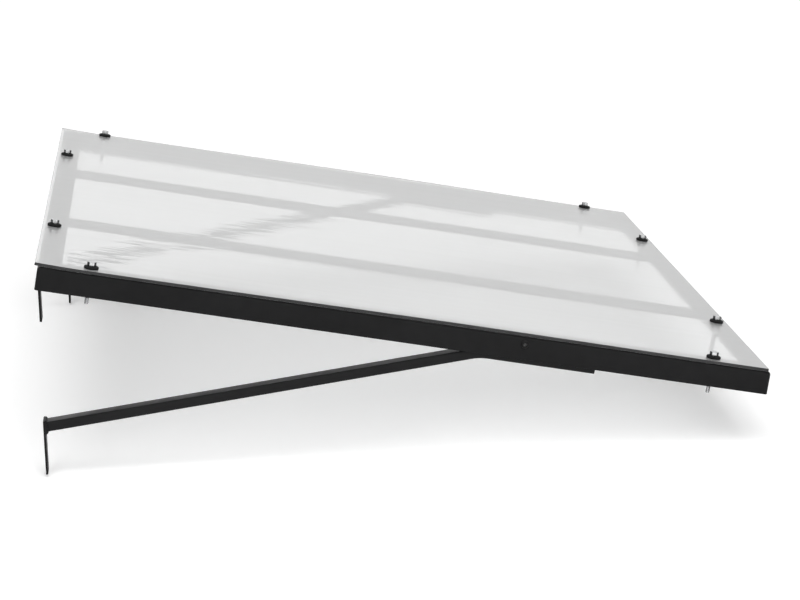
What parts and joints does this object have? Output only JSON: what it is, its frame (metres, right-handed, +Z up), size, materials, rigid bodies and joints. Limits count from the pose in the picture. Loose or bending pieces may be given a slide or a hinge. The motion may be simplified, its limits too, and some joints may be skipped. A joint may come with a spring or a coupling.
{
  "type": "door canopy",
  "caption": "Door canopy: a translucent sheet bolted onto a sloping frame of black steel angle, with wall plates and bent struts that prop it from below.",
  "frame": {"origin": "on the wall, halfway along the width, level with the lower edges of the lower wall plates", "axes": "+X along the width to the right as seen from in front, +Y into the wall, +Z up; the roof reaches out towards -Y and falls that way"},
  "size_m": [1.2072, 0.9372, 0.2889],
  "materials": {
    "rail_paint": "smooth satin black paint",
    "rafter_paint": "smooth satin black paint",
    "strut_paint": "smooth satin black paint",
    "plate_paint": "smooth satin black paint",
    "black_screw": "blackened steel",
    "sheet": "translucent white with a glossy face",
    "zinc": "bright zinc plating",
    "rubber": "matt black"
  },
  "bodies": {
    "root": {"roof_sheet": "sheet", "side_rail_left": "rail_paint", "side_rail_right": "rail_paint", "wall_rail": "rail_paint", "front_rail": "rail_paint", "rafter_left": "rafter_paint", "rafter_right": "rafter_paint", "upper_wall_plate_left": "plate_paint", "upper_wall_plate_right": "plate_paint", "lower_wall_plate_left": "plate_paint", "lower_wall_plate_right": "plate_paint", "strut_left": "strut_paint", "strut_right": "strut_paint", "strut_lug_left": "plate_paint", "strut_lug_right": "plate_paint", "strut_screw_left": "black_screw", "strut_screw_right": "black_screw", "strut_nut_left": "zinc", "strut_nut_right": "zinc", "roof_bolt_1": "zinc", "roof_bolt_2": "zinc", "roof_bolt_3": "zinc", "roof_bolt_4": "zinc", "roof_bolt_5": "zinc", "roof_bolt_6": "zinc", "roof_bolt_7": "zinc", "roof_bolt_8": "zinc", "seal_washer_1": "rubber", "seal_washer_2": "rubber", "seal_washer_3": "rubber", "seal_washer_4": "rubber", "seal_washer_5": "rubber", "seal_washer_6": "rubber", "seal_washer_7": "rubber", "seal_washer_8": "rubber", "roof_nut_1": "zinc", "roof_nut_2": "zinc", "roof_nut_3": "zinc", "roof_nut_4": "zinc", "roof_nut_5": "zinc", "roof_nut_6": "zinc", "roof_nut_7": "zinc", "roof_nut_8": "zinc"}
  },
  "joints": []
}
